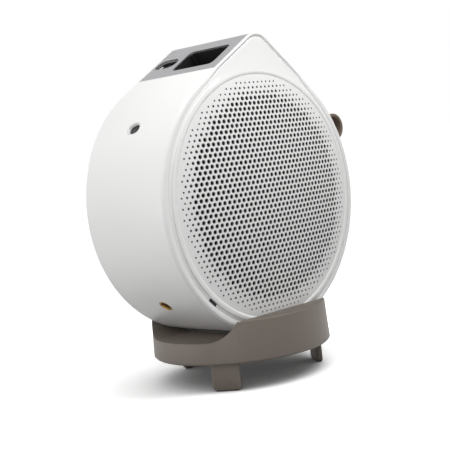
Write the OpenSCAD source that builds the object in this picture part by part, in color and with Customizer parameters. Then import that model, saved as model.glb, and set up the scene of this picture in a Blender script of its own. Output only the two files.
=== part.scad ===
// Portable video projector: a drum with two flats and a rounded tip, held in a round stand.
// +X runs along the drum's axis, -Y is the front, and the floor under the stand's centre is the origin.

/* [Drum] */
// Radius of the drum's round stretch
drum_r = 86; // [80:0.5:95]
// Width of the drum between its rim planes
drum_w = 74.2; // [68:0.2:90]
// Wall of the drum shell
shell_wall = 2.6; // [2:0.1:4]
// Rounding of the shell's rims
rim_round = 3; // [2:0.1:3.2]
// Width of the shell's rim, from the outline to the side cover
rim_w = 4; // [3.3:0.1:5]
// Lean of the lens flat's normal from upright, towards the front
lens_lean = 31; // [25:0.1:38]
// Lean of the key flat's normal from upright, towards the back
key_lean = 40.4; // [34:0.1:46]
// Rounding of the tip between the two flats
tip_round = 12.5; // [9:0.5:14]
// Height of the drum's axis above the floor
axis_h = 115.5; // [112:0.5:130]

/* [Side covers and grilles] */
// How far the covers stand proud of the rim planes
cover_rise = 2.9; // [2.8:0.1:5]
// Rounding of a cover's outer edge
cover_round = 2.8; // [1.5:0.1:2.8]
// Wall of a cover
cover_wall = 2.2; // [1.8:0.1:3]
// Depth of a cover's skirt behind the rim plane
skirt_d = 5; // [4:0.5:8]
// Width of a cover's face, from its edge to the grille
cover_face = 5.85; // [5.4:0.05:9]
// Thickness of a grille plate
grille_t = 1.8; // [1.2:0.1:2.4]
// Spacing of the holes in a row
hole_pitch = 3.88; // [3.6:0.02:6]
// Diameter of a full hole
hole_d = 2.4; // [1.6:0.1:2.6]
// Plain border of a grille, from its edge to the outermost holes' centres
grille_border = 2.8; // [1.6:0.1:10]
// Depth of the acoustic cloth behind a grille
cloth_t = 0.6; // [0.4:0.1:1]
// Length of the pry notch along a cover's edge
notch_l = 8; // [6:0.5:12]
// Place of the pry notch round the drum, from upright
notch_at = -135.7; // [-150:0.1:-120]

/* [Lens panel] */
// Thickness of the lens panel
panel_t = 1.2; // [0.8:0.1:1.4]
// Width of the lens panel along the drum's axis
panel_w = 71.6; // [66:0.2:72]
// Start of the panel along the lens flat, from the end of the round stretch
panel_start = 15.2; // [12:0.2:20]
// Length of the panel's turned end on the key flat
panel_end = 5; // [2:0.5:10]
// Size of the lens window along the drum's axis
window_w = 38.4; // [34:0.2:40]
// Size of the lens window along the flat
window_l = 23.8; // [20:0.2:25]
// Corner rounding of the lens window
window_round = 4; // [3:0.5:6]
// Place of the lens window along the drum's axis
lens_x = 7.9; // [6:0.1:9]
// Place of the lens window along the flat
lens_s = 34.7; // [34:0.1:36]
// Length of the sensor window along the drum's axis
sensor_l = 15.2; // [14:0.1:16]
// Width of the sensor window
sensor_d = 10.6; // [8:0.2:12]
// Corner rounding of the sensor window
sensor_round = 3; // [2:0.1:4]
// Place of the sensor window along the drum's axis
sensor_x = -24.8; // [-25:0.1:-23.5]

/* [Sockets] */
// Diameter of the 1/4-20 tripod socket
tripod_d = 6.35; // [6.35:0.05:9.6]
// Diameter of the brass tripod insert
insert_d = 9.4; // [9:0.1:12]
// Depth of the tripod insert
insert_l = 10; // [8:0.5:12]
// Place of the tripod socket round the drum, from upright
tripod_at = -134.3; // [-140:0.1:-125]
// Diameter of the remote receiver's recess
receiver_d = 10.6; // [8:0.1:12]
// Place of the receiver round the drum, from upright
receiver_at = -54; // [-60:0.5:-48]
// Diameter of the audio jack
audio_d = 3.5; // [2.5:0.1:4]
// Width of the port panel
port_panel_w = 54; // [50:1:60]
// Height of the port panel
port_panel_h = 18; // [16:0.5:20]

/* [Keys] */
// Length of a key along the drum's axis
key_l = 10; // [8:0.5:10]
// Width of a key
key_w = 5; // [4:0.5:7]
// Spacing of the keys
key_pitch = 13; // [12.5:0.5:13]
// Travel of a key
key_travel = 0.6; // [0.4:0.1:1]
// Place of the keys on the key flat, from the end of the round stretch
key_s = 24; // [20:0.5:34]

/* [Strap] */
// Width of the strap
strap_w = 54; // [40:1:60]
// Thickness of the strap
strap_t = 2.2; // [1.6:0.1:3]
// Outside width of the strap's loop
loop_w = 18.6; // [16:0.2:24]
// Height of the loop above the drum
loop_h = 17.8; // [14:0.2:22]
// Place of the loop round the drum, from upright
strap_at = 66.3; // [62:0.1:70]

/* [Stand] */
// Radius of the stand
stand_r = 57.2; // [55:0.1:65]
// Widening of the stand from its top to its underside
stand_flare = 1; // [0:0.1:3]
// Height of the stand body below the trough's floor
stand_under = 13.8; // [12:0.2:16]
// Height of the stand's side walls above the trough's floor
stand_rise = 12.1; // [10:0.1:14]
// Depth of the drum's seat in the trough's floor
seat_depth = 1.6; // [1.2:0.1:2]
// Corner radius of the trough
trough_round = 19; // [14:0.5:19]
// Clearance between a side cover's face and the trough's wall
trough_gap = 1.1; // [1:0.1:3]
// Wall of the stand body
stand_wall = 3.5; // [2.5:0.1:5]
// Width of a leg
leg_w = 18; // [16:0.5:26]
// Thickness of a leg
leg_t = 3; // [2:0.1:5]
// Radius of the legs' outer faces
leg_r = 51.4; // [40:0.2:52]
// Turn of the front and rear legs from the drum's axis
leg_turn = 58; // [50:1:65]
// Thickness of a foot pad
foot_t = 0.6; // [0.6:0.1:2]

/* [Inside] */
// Thickness of the chassis plate
plate_t = 2; // [1.5:0.1:3]
// Place of the chassis plate's right face along the drum's axis
plate_x = -11; // [-11.5:0.1:-10.5]
// Radius of the fan rotor
fan_r = 25; // [20:0.5:26]
// Depth of the fan frame
fan_t = 15; // [12:0.5:18]
// Number of fan blades
fan_blades = 7; // [5:1:9]
// Radius of the speaker box
speaker_r = 34; // [30:0.5:36]
// Depth of the speaker box
speaker_d = 37; // [34:0.5:38]
// Radius of the lens barrel's bore
barrel_bore = 11; // [10:0.1:12]
// Focus travel each way
focus_travel = 1.5; // [1:0.1:2]
// Radius of the focus lead screw
screw_r = 1.5; // [1:0.1:1.8]

/* [Hidden] */
$fn = 96;
fit_gap = 0.15;
slip = 0.05;
run_gap = 0.3;
eps = 0.01;
step = 0.04;

// Turns of the two flats' normals in the drum's plane, counted from +Y
lens_turn = 90 + lens_lean;
key_turn = 90 - key_lean;
tip_half = (lens_turn - key_turn) / 2;
round_sweep = 360 - 2 * tip_half;
flat_len = (drum_r - tip_round) * tan(tip_half);
tip_c = (drum_r - tip_round) / cos(tip_half);
tip_turn = key_turn + tip_half;

rim_x = drum_w / 2;
face_x = rim_x + cover_rise;
cover_r = drum_r - rim_w - fit_gap;
grille_r = cover_r - cover_face;
hole_field_r = grille_r - grille_border;
open_r = grille_r + run_gap;
ledge_r = hole_field_r + 0.7;
grille_back = face_x - grille_t;
cloth_r = ledge_r - fit_gap;
row_step = hole_pitch * sqrt(3) / 2;
inner_r = drum_r - shell_wall;
plate_left = plate_x - plate_t;
rib_w = 2;
rib_d = 5;

function dir(t) = [cos(t), sin(t)];
function tip_size(radius) = radius - drum_r + tip_round;
function flat_point(turn, side, s, r) = r * dir(turn) + side * s * dir(turn + 90);
function hole_size(r) = r > hole_field_r - 3.2 ? 1.0
  : r > hole_field_r - 6.4 ? 1.35
  : r > hole_field_r - 9.6 ? 1.85 : hole_d;

// Puts the middle of the whole object's depth at the origin
loop_mid = drum_r + loop_h - loop_w / 2;
row_y = (drum_r - loop_mid * sin(strap_at) - loop_w / 2) / 2;
module row() translate([0, row_y, 0]) children();

// Places in the drum
module drum() translate([0, 0, axis_h]) children();
module across() rotate([90, 0, 90]) children();
module at_angle(a) rotate([-a, 0, 0]) children();
module on_lens_flat(x, s) at_angle(-lens_lean) translate([x, s, drum_r]) children();
module on_key_flat(x, s) at_angle(key_lean) translate([x, -s, drum_r]) children();
module both_sides() for (m = [0, 1]) mirror([m, 0, 0]) children();

// Quarter of a disc in the first quadrant
module quarter(r) intersection() { circle(r); square(r + 1); }

// Rectangle with rounded corners, exact arcs
module round_rect(w, l, r) {
  square([w, l - 2 * r], center = true);
  for (m = [0, 1]) mirror([0, m]) translate([0, l / 2 - r]) {
    translate([r - w / 2, 0]) square([w - 2 * r, r]);
    for (k = [0, 1]) mirror([k, 0]) translate([w / 2 - r, 0]) quarter(r);
  }
}

// Half of a turned disc's outline from x0 to x1, with its outer corners rounded by r0 and r1
module disc_half(radius, x0, x1, r0, r1) {
  r = max(r0, r1);
  translate([0, x0]) square([radius - r, x1 - x0]);
  translate([0, x0 + r0]) square([radius, x1 - x0 - r0 - r1]);
  if (r1 > 0) translate([radius - r1, x1 - r1]) quarter(r1);
  if (r0 > 0) translate([radius - r0, x0 + r0]) mirror([0, 1]) quarter(r0);
}

// Solid with the drum's outline: two discs, two flats and the core between them
module teardrop_body(radius, x0, x1, r0, r1) {
  tip = tip_size(radius);
  deep = tip - 1;
  rotate_extrude() disc_half(radius, x0, x1, r0, r1);
  translate(tip_c * dir(tip_turn)) rotate_extrude() disc_half(tip, x0, x1, r0, r1);
  for (m = [0, 1]) rotate([0, 0, m > 0 ? key_turn : lens_turn]) translate([radius - deep, m * flat_len, 0])
    rotate([90, 0, 0]) linear_extrude(flat_len)
      disc_half(deep - step, x0 + step, x1 - step, r0, r1);
  translate([0, 0, x0 + step]) linear_extrude(x1 - x0 - 2 * step) kite(radius - deep / 2);
}

// The part of the outline between the round stretch and the tip
module kite(radius) {
  tip = tip_size(radius);
  c = tip_c * dir(tip_turn);
  polygon([[0, 0], radius * dir(lens_turn), c + tip * dir(lens_turn), c + tip * dir(key_turn), radius * dir(key_turn)]);
}

// The drum's outline, or one offset inwards, as a flat shape
module teardrop(radius) {
  circle(radius);
  translate(tip_c * dir(tip_turn)) circle(tip_size(radius));
  kite(radius - step);
}

// Bent strip that follows the lens flat, the tip and the start of the key flat
module panel_strip(start, end, depth, width, over = 0) {
  stop = flat_len - end;
  translate([0, 0, -width / 2]) difference() {
    intersection() {
      union() {
        translate(tip_c * dir(tip_turn)) cylinder(r = tip_round + over, h = width);
        linear_extrude(width) kite(drum_r + over - step);
      }
      linear_extrude(width)
        polygon([flat_point(lens_turn, -1, start, drum_r + 20), flat_point(lens_turn, -1, start, drum_r - 6),
          tip_c * dir(tip_turn), flat_point(key_turn, 1, stop, drum_r - 6),
          flat_point(key_turn, 1, stop, drum_r + 20), (tip_c + 60) * dir(tip_turn)]);
    }
    translate(concat(tip_c * dir(tip_turn), -1)) cylinder(r = tip_round - depth, h = width + 2);
    translate([0, 0, -1]) linear_extrude(width + 2) kite(drum_r - depth - step);
  }
}

module window_cut(grow, depth) {
  on_lens_flat(lens_x, lens_s) translate([0, 0, -depth]) linear_extrude(depth + 2)
    round_rect(window_w + 2 * grow, window_l + 2 * grow, window_round + grow);
}

module sensor_cut(grow, depth) {
  on_lens_flat(sensor_x, lens_s) translate([0, 0, -depth]) linear_extrude(depth + 2)
    round_rect(sensor_l + 2 * grow, sensor_d + 2 * grow, sensor_round + grow);
}

// Driver sizes of the pieces that meet the shell from inside
boss_r = insert_d / 2 + 3;
port_face_y = drum_r - 2.6;
port_wall = 2;
key_gap = 0.25;
key_flange = 1;
slot_gap = 0.3;
leg_mid = loop_w / 2 - strap_t / 2;
post_h = 5;
key_board_x = 27.6;

module drum_shell() {
  color("white") drum() difference() {
    union() {
      difference() {
        across() teardrop_body(drum_r, -rim_x, rim_x, rim_round, rim_round);
        across() translate([0, 0, -rim_x - 1]) linear_extrude(drum_w + 2) teardrop(drum_r - rim_w);
        across() translate([0, 0, 7 - rim_x]) linear_extrude(drum_w - 14) teardrop(inner_r);
      }
      // rib that carries the chassis plate
      difference() {
        across() translate([0, 0, plate_left - rib_w]) linear_extrude(rib_w) difference() {
          teardrop(inner_r + 0.8);
          teardrop(inner_r - rib_d);
        }
        plate_room();
      }
      at_angle(tripod_at) translate([0, 0, drum_r - insert_l - 2]) cylinder(r = boss_r, h = insert_l + 0.6);
      // posts for the switch board
      for (x = [-key_board_x, key_board_x]) on_key_flat(x, key_s)
        translate([0, 0, -shell_wall - post_h]) cylinder(r = 2, h = post_h + 1);
    }
    across() panel_strip(panel_start - fit_gap, panel_end + fit_gap, panel_t + slip, panel_w + 2 * fit_gap, 2);
    window_cut(0.2, 6);
    sensor_cut(0.2, 6);
    at_angle(receiver_at) translate([0, 0, drum_r - 8]) cylinder(d = receiver_d + 2 * slip, h = 10);
    at_angle(tripod_at) translate([0, 0, drum_r - insert_l - slip]) cylinder(d = insert_d + 2 * slip, h = 14);
    for (i = [0:3]) on_key_flat((i - 1.5) * key_pitch, key_s) translate([0, 0, -5]) linear_extrude(8)
      round_rect(key_l + 2 * key_gap, key_w + 2 * key_gap, key_w / 2 + key_gap - 0.3);
    at_angle(strap_at) for (y = [-leg_mid, leg_mid])
      translate([0, y, drum_r]) cube([strap_w + 2 * slot_gap, strap_t + 2 * slot_gap, 24], center = true);
    // opening for the port panel
    translate([0, drum_r, 0]) rotate([90, 0, 0]) linear_extrude(8, center = true)
      round_rect(port_panel_w + 2 * fit_gap, port_panel_h + 2 * fit_gap, 3);
  }
}

// A side cover: rounded outside, with a skirt that slips inside the shell's rim
module cover_form() {
  back = rim_x - skirt_d;
  difference() {
    union() {
      difference() {
        teardrop_body(cover_r, back, face_x, 0, cover_round);
        translate([0, 0, back - 1]) linear_extrude(face_x - cover_wall - back + 1) teardrop(cover_r - cover_wall);
      }
      // ledge behind the grille
      translate([0, 0, grille_back - cover_wall]) linear_extrude(cover_wall) difference() {
        circle(open_r + 2.2);
        circle(ledge_r);
      }
    }
    translate([0, 0, grille_back]) cylinder(r = open_r, h = 10);
    translate([0, 0, grille_back - 6]) cylinder(r = ledge_r, h = 12);
    // pry notch at the edge
    rotate([0, 0, 90 - notch_at]) translate([cover_r, 0, rim_x]) cube([6.4, notch_l, 4.4], center = true);
  }
}

module side_cover_right() { color("white") drum() across() cover_form(); }
module side_cover_left() { color("white") drum() mirror([1, 0, 0]) across() cover_form(); }

module grille_form() {
  rows = floor(hole_field_r / row_step);
  columns = ceil(hole_field_r / hole_pitch);
  translate([0, 0, grille_back]) linear_extrude(grille_t) difference() {
    circle(grille_r);
    for (j = [-rows:rows], i = [-columns:columns]) {
      p = [(i + (abs(j) % 2) / 2) * hole_pitch, j * row_step];
      if (norm(p) < hole_field_r) translate(p) circle(d = hole_size(norm(p)), $fn = 16);
    }
  }
}

module grille_right() { color("whitesmoke") drum() across() grille_form(); }
module grille_left() { color("whitesmoke") drum() mirror([1, 0, 0]) across() grille_form(); }

module cloth_form() translate([0, 0, grille_back - cloth_t]) cylinder(r = cloth_r, h = cloth_t);
module cloth_right() { color("#202020") drum() across() cloth_form(); }
module cloth_left() { color("#202020") drum() mirror([1, 0, 0]) across() cloth_form(); }

module lens_panel() {
  color("silver") drum() difference() {
    // its long edges run down over the rims' rounding
    intersection() {
      across() panel_strip(panel_start, panel_end, panel_t, panel_w, 2);
      across() teardrop_body(drum_r, -rim_x, rim_x, rim_round, rim_round);
    }
    window_cut(0, 6);
    sensor_cut(0, 6);
  }
}

// Depths along the lens axis, below the lens flat
well_d = 15;
well_wall = 1.2;
flange_t = 2;
flange_d = well_d + flange_t;
barrel_end = 46;
engine_end = 92;
barrel_wall = 2;
screw_off = 18.8;
motor_l = 9;
carriage_top = 21;
carriage_l = 13;
carriage_wall = 1.6;
engine_half = 21;
engine_x0 = plate_x - lens_x;
engine_w = 36;

module lens_frame() on_lens_flat(lens_x, lens_s) children();

module lens_well() {
  neck = barrel_bore - 1.5;
  color("#1c1c1c") drum() lens_frame() difference() {
    union() {
      translate([0, 0, -well_d]) linear_extrude(well_d - shell_wall - slip)
        round_rect(window_w + 2 * well_wall + 0.4, window_l + 2 * well_wall + 0.4, window_round);
      translate([0, 0, -shell_wall - slip - 1]) linear_extrude(shell_wall + 1 - panel_t)
        round_rect(window_w, window_l, window_round);
    }
    translate([0, 0, well_wall - well_d]) linear_extrude(well_d)
      round_rect(window_w - 2 * well_wall, window_l - 2 * well_wall, window_round - well_wall);
    translate([0, 0, -well_d - 1]) cylinder(r = neck, h = 4);
  }
}

module lens_barrel() {
  color("#2a2a2a") drum() lens_frame() difference() {
    union() {
      translate([-16, -screw_off - 6, -flange_d]) cube([32, screw_off + 20, flange_t]);
      translate([0, 0, -barrel_end]) cylinder(r = barrel_bore + barrel_wall, h = barrel_end - well_d);
    }
    translate([0, 0, -barrel_end - 1]) cylinder(r = barrel_bore, h = barrel_end - flange_d + 1);
    translate([0, 0, -flange_d - 1]) cylinder(r = barrel_bore - 1.5, h = 6);
    // slot for the carriage's arm
    translate([-3, -screw_off, -carriage_top - carriage_l - 3]) cube([6, screw_off, carriage_l + 6]);
    translate([0, -screw_off, -flange_d - 1]) cylinder(r = screw_r + slip, h = 4);
  }
}

module focus_carriage() {
  color("#444444") drum() lens_frame() difference() {
    union() {
      translate([0, 0, -carriage_top - carriage_l]) cylinder(r = barrel_bore - slip, h = carriage_l);
      translate([-2.5, -screw_off, -carriage_top - 9]) cube([5, screw_off, 5]);
      translate([0, -screw_off, -carriage_top - 9]) cylinder(r = 3.4, h = 5);
    }
    translate([0, 0, -carriage_top - carriage_l - 1]) cylinder(r = barrel_bore - carriage_wall, h = carriage_l + 2);
    translate([0, -screw_off, -carriage_top - 10]) cylinder(r = screw_r + slip, h = 8);
  }
}

// Lens with two curved faces, made as a turned profile
module lens_element(radius, edge, crown) {
  ball = (radius * radius + crown * crown) / (2 * crown);
  rotate_extrude() intersection() {
    translate([0, -edge]) square([radius, 2 * edge + 2 * crown]);
    translate([0, edge / 2 + crown - ball]) circle(ball);
    translate([0, ball - edge / 2 - crown]) circle(ball);
  }
}

module front_lens() {
  color([0.7, 0.8, 0.9, 0.5]) drum() lens_frame()
    translate([0, 0, -carriage_top - 4]) lens_element(barrel_bore - carriage_wall - slip, 2, 2.4);
}

module rear_lens() {
  color([0.7, 0.8, 0.9, 0.5]) drum() lens_frame()
    translate([0, 0, -barrel_end + 3.5]) lens_element(barrel_bore - slip, 2, 1.6);
}

module focus_motor() {
  color("silver") drum() lens_frame() translate([0, -screw_off, -well_d]) difference() {
    cylinder(r = 5, h = motor_l);
    translate([0, 0, -1]) cylinder(r = screw_r + slip, h = 4);
  }
}

module focus_screw() {
  color("gray") drum() lens_frame() translate([0, -screw_off, run_gap - barrel_end])
    cylinder(r = screw_r, h = barrel_end - well_d + 2);
}

module light_engine() {
  color("#3a3a3a") drum() lens_frame() difference() {
    translate([engine_x0, -engine_half, -engine_end]) cube([engine_w, 2 * engine_half, engine_end - barrel_end]);
    translate([0, 0, -barrel_end - 20]) cylinder(r = barrel_bore - 2, h = 21);
  }
}

module led_module() {
  color("#b87333") drum() lens_frame()
    translate([engine_x0 + 4, -15, -engine_end - 2]) cube([28, 30, 2]);
}

module imager_board() {
  color("darkgreen") drum() lens_frame()
    translate([engine_x0 + 2, engine_half, -engine_end + 4]) cube([32, 1.6, 36]);
}

sink_top = engine_end + 2;
sink_base = 4;
sink_l = 20;
fins = 9;
fin_t = 1.4;

module heat_sink() {
  span = 34;
  color("lightgray") drum() lens_frame() translate([engine_x0, -engine_half, 0]) {
    translate([0, 0, -sink_top - sink_base]) cube([span, 2 * engine_half, sink_base]);
    for (i = [0:fins - 1]) translate([0, i * (2 * engine_half - fin_t) / (fins - 1), -sink_top - sink_l])
      cube([span, fin_t, sink_l - sink_base + eps]);
  }
}

module sensor_window() {
  color("#101014") drum() difference() {
    on_lens_flat(sensor_x, lens_s) translate([0, 0, -shell_wall - 0.6]) linear_extrude(shell_wall + 0.1)
      round_rect(sensor_l - 0.1, sensor_d - 0.1, sensor_round - 0.05);
  }
}

module sensor_module() {
  color("#303030") drum() on_lens_flat(sensor_x, lens_s) translate([0, 0, -shell_wall - 0.6 - 8]) {
    translate([-6, -7, 0]) cube([15, 14, 1.6]);
    for (x = [-1.8, 5]) translate([x, 0, 1.6 - eps]) cylinder(r = 3, h = 6.4);
  }
}

bezel_wall = 1.1;

module receiver_bezel() {
  color("gainsboro") drum() at_angle(receiver_at) translate([0, 0, drum_r - 7]) difference() {
    cylinder(d = receiver_d, h = 6.8);
    translate([0, 0, 2]) cylinder(d = receiver_d - 2 * bezel_wall, h = 10);
  }
}

module receiver_window() {
  color("#141418") drum() at_angle(receiver_at) translate([0, 0, drum_r - 5])
    cylinder(d = receiver_d - 2 * bezel_wall - 2 * slip, h = 2.2);
}

module tripod_insert() {
  color("goldenrod") drum() at_angle(tripod_at) translate([0, 0, drum_r - insert_l]) difference() {
    cylinder(d = insert_d, h = insert_l - 0.3);
    translate([0, 0, 1]) cylinder(d = tripod_d, h = insert_l);
  }
}

// Keys in the key flat, each with a flange behind the wall
module key(i) {
  color("gainsboro") drum() on_key_flat((i - 1.5) * key_pitch, key_s) {
    translate([0, 0, -shell_wall - fit_gap - key_flange]) linear_extrude(shell_wall + fit_gap + key_flange + 0.4)
      round_rect(key_l, key_w, key_w / 2 - 0.3);
    translate([0, 0, -shell_wall - fit_gap - key_flange]) linear_extrude(key_flange)
      round_rect(key_l + 2, key_w + 2, key_w / 2);
  }
}
module power_key() key(0);
module volume_down_key() key(1);
module volume_up_key() key(2);
module speaker_mode_key() key(3);

key_drop = shell_wall + fit_gap + key_flange;
switch_gap = 0.1;

module switch_board() {
  top = shell_wall + post_h + slip;
  color("darkgreen") drum() on_key_flat(0, key_s) {
    translate([-key_board_x - 3, -5, -top - 1.6]) cube([2 * key_board_x + 6, 10, 1.6]);
    for (i = [0:3]) translate([(i - 1.5) * key_pitch, 0, -top - eps])
      cylinder(r = 1.6, h = top - key_drop - key_travel - switch_gap);
  }
}

// Ports at the back, each facing +Y
usb_x = -17;
hdmi_x = 0;
audio_x = 17;
board_z = -4;
board_t = 1.6;
port_l = 14;
hdmi_w = 15;
hdmi_h = 5.6;
usb_w = 9;
usb_h = 3.3;
audio_z = board_z + 3;

module port_panel() {
  back = port_face_y - port_wall;
  color("#26262a") drum() difference() {
    union() {
      translate([0, port_face_y, 0]) rotate([90, 0, 0]) linear_extrude(port_wall)
        round_rect(port_panel_w, port_panel_h, 3 - fit_gap);
      for (x = [-22, 22]) translate([x - 2, back - port_l, board_z - board_t - 2]) cube([4, port_l + eps, 2]);
    }
    translate([hdmi_x - hdmi_w / 2 - 0.2, back - 1, board_z - 0.2]) cube([hdmi_w + 0.4, 6, hdmi_h + 0.4]);
    translate([usb_x, back - 1, board_z + usb_h / 2]) rotate([-90, 0, 0]) linear_extrude(6)
      round_rect(usb_w + 0.4, usb_h + 0.4, usb_h / 2);
    translate([audio_x, back - 1, audio_z]) rotate([-90, 0, 0]) cylinder(r = 3 + slip, h = 6);
  }
}

module port_board() {
  back = port_face_y - port_wall;
  color("darkgreen") drum() translate([-25, back - port_l - 1, board_z - board_t]) cube([50, port_l + 0.9, board_t]);
}

module hdmi_socket() {
  y0 = port_face_y - port_wall - port_l + 2;
  color("silver") drum() translate([hdmi_x, y0, board_z]) difference() {
    translate([-hdmi_w / 2, 0, 0]) cube([hdmi_w, port_l - 1, hdmi_h]);
    translate([0.5 - hdmi_w / 2, 3, 0.5]) cube([hdmi_w - 1, port_l, hdmi_h - 1]);
  }
}

module usb_socket() {
  y0 = port_face_y - port_wall - port_l + 2;
  color("silver") drum() translate([usb_x, y0, board_z + usb_h / 2]) rotate([-90, 0, 0]) {
    difference() {
      linear_extrude(port_l - 1) round_rect(usb_w, usb_h, usb_h / 2 - 0.2);
      translate([0, 0, 3]) linear_extrude(port_l) round_rect(usb_w - 0.8, usb_h - 0.8, usb_h / 2 - 0.6);
    }
    translate([-3.3, -0.35, 3 - eps]) cube([6.6, 0.7, 6]);
  }
}

module audio_jack() {
  y0 = port_face_y - port_wall - port_l + 2;
  color("#303030") drum() translate([audio_x, y0, audio_z]) difference() {
    union() {
      translate([-3.5, 0, -3]) cube([7, port_l - 2 - slip, 6]);
      rotate([-90, 0, 0]) cylinder(r = 3, h = port_l);
    }
    translate([0, 1, 0]) rotate([-90, 0, 0]) cylinder(d = audio_d, h = port_l + 2);
  }
}

// Strap loop: two legs through the shell and a round top
leg_bottom = drum_r - shell_wall - 5;

module carry_strap() {
  outer = loop_w / 2;
  color("sienna") drum() at_angle(strap_at) {
    for (m = [0, 1]) mirror([0, m, 0]) translate([-strap_w / 2, outer - strap_t + step, leg_bottom])
      cube([strap_w, strap_t - 2 * step, loop_mid - leg_bottom + 0.4]);
    translate([-strap_w / 2, 0, loop_mid]) rotate([90, 0, 90]) difference() {
      cylinder(r = outer, h = strap_w);
      translate([0, 0, -1]) cylinder(r = outer - strap_t, h = strap_w + 2);
      translate([-outer - 1, -outer - 1, -1]) cube([2 * outer + 2, outer + 1, strap_w + 2]);
    }
  }
}

module strap_anchor() {
  gap = loop_w - 2 * strap_t - 2 * slip;
  color("gray") drum() at_angle(strap_at) translate([3 - strap_w / 2, 0, leg_bottom]) {
    translate([0, -gap / 2, -0.5]) cube([strap_w - 6, gap, 3.7]);
    translate([0, -loop_w / 2 - 3, -1.5 - slip]) cube([strap_w - 6, loop_w + 6, 1.5]);
  }
}

// Chassis plate: carries the engine, the boards, the fan, the battery and the speaker
fan_at = [36, 2];
fan_half = fan_r + 3;
board_at = [-60, -8];
board_size = [56, 48];
standoff = 3;
stud_at = [[-55, -3], [-10, -3], [-55, 35], [-10, 35]];
speaker_at = [-18, -30];
mount_angles = [-100, -20, 40, 130, 175, 225];
mount_r = inner_r - rib_d / 2 - 0.4;

// Room in the plate and its rib for the lens well, the ports, the strap's anchor and the keys
module plate_room() {
  on_lens_flat(lens_x, lens_s) cube([60, window_l + 8, 2 * well_d + 4], center = true);
  translate([-20, 60, -14]) cube([20, 30, 28]);
  at_angle(strap_at) translate([0, 0, drum_r]) cube([60, loop_w + 10, 24], center = true);
  on_key_flat(0, key_s) cube([80, 16, 26], center = true);
}

module chassis_plate() {
  color("slategray") drum() difference() {
    union() {
      across() translate([0, 0, plate_left]) linear_extrude(plate_t) teardrop(inner_r - 0.4);
      across() for (p = stud_at) translate([p[0], p[1], plate_left - standoff]) cylinder(r = 3, h = standoff + eps);
    }
    across() translate([fan_at[0], fan_at[1], plate_left - 1]) cylinder(r = fan_r, h = plate_t + 2);
    plate_room();
    across() for (a = mount_angles) rotate([0, 0, 90 - a])
      translate([mount_r, 0, plate_left - 1]) cylinder(r = 1.2, h = plate_t + 2);
  }
}

module chassis_screws() {
  color("gray") drum() across() for (a = mount_angles) rotate([0, 0, 90 - a]) translate([mount_r, 0, plate_x]) {
    translate([0, 0, -plate_t]) cylinder(r = 1.1, h = plate_t + eps);
    cylinder(r = 2.2, h = 1.4);
  }
}

module main_board() {
  x0 = plate_left - standoff - 1.6;
  color("darkgreen") drum() across() translate([board_at[0], board_at[1], x0]) {
    cube([board_size[0], board_size[1], 1.6]);
    translate([14, 16, -2]) cube([18, 18, 2 + eps]);
    translate([38, 10, -1.2]) cube([10, 12, 1.2 + eps]);
    translate([38, 28, -1.2]) cube([10, 12, 1.2 + eps]);
    translate([4, 4, -6]) cube([10, 7, 6 + eps]);
  }
}

module battery_pack() {
  color("royalblue") drum() across() translate([-22, -40, plate_left - 19]) linear_extrude(19)
    round_rect(56, 42, 5);
}

module fan_frame() {
  color("#222222") drum() across() translate([fan_at[0], fan_at[1], plate_left - fan_t]) difference() {
    union() {
      difference() {
        linear_extrude(fan_t) round_rect(2 * fan_half, 2 * fan_half, 4);
        translate([0, 0, -1]) cylinder(r = fan_r + 0.8, h = fan_t + 2);
      }
      for (a = [45:90:315]) rotate([0, 0, a]) translate([0, -1.5, fan_t - 2]) cube([fan_r + 1.5, 3, 2]);
      translate([0, 0, fan_t - 3]) cylinder(r = 9, h = 3);
    }
    translate([0, 0, fan_t - 4]) cylinder(r = 1.5 + slip, h = 6);
  }
}

module fan_rotor() {
  hub_l = fan_t - 3 - 2;
  color("#333333") drum() across() translate([fan_at[0], fan_at[1], plate_left - fan_t + 1]) {
    cylinder(r = 10, h = hub_l);
    cylinder(r = 1.5, h = fan_t - 1 - run_gap);
    intersection() {
      cylinder(r = fan_r, h = hub_l);
      for (i = [0:fan_blades - 1]) rotate([0, 0, i * 360 / fan_blades]) translate([8, 0, hub_l / 2])
        rotate([48, 0, 0]) translate([0, -0.6, -10]) cube([fan_r, 1.2, 20]);
    }
  }
}

// Speaker: sealed box, driver frame, magnet and moving cone, all turned about one axis
box_wall = 2;
cone_r = 23;
flange_r = 29;
coil_r = 8;
speaker_front = plate_x + speaker_d;

module speaker_place() drum() translate([0, speaker_at[0], speaker_at[1]]) across() children();

module speaker_box() {
  color("#2b2b2e") speaker_place() translate([0, 0, plate_x]) difference() {
    cylinder(r = speaker_r, h = speaker_d);
    translate([0, 0, box_wall]) cylinder(r = speaker_r - box_wall, h = speaker_d - 2 * box_wall);
    translate([0, 0, speaker_d - box_wall - 1]) cylinder(r = flange_r - 2.4, h = 6);
  }
}

module woofer_frame() {
  color("#4a4a4a") speaker_place() translate([0, 0, speaker_front]) difference() {
    union() {
      cylinder(r = flange_r, h = 2);
      translate([0, 0, -box_wall - 12]) cylinder(r = flange_r - 2.5, h = box_wall + 12 + eps);
    }
    translate([0, 0, -box_wall - 10]) cylinder(r = flange_r - 4, h = 20);
    translate([0, 0, -20]) cylinder(r = coil_r + 2, h = 20);
  }
}

module woofer_magnet() {
  top = -box_wall - 12;
  color("dimgray") speaker_place() translate([0, 0, speaker_front + top]) {
    difference() {
      translate([0, 0, -9]) cylinder(r = 17, h = 9);
      translate([0, 0, -6.5]) cylinder(r = coil_r + 1, h = 8);
    }
    translate([0, 0, -7]) cylinder(r = coil_r - 1.2, h = 7);
  }
}

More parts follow.
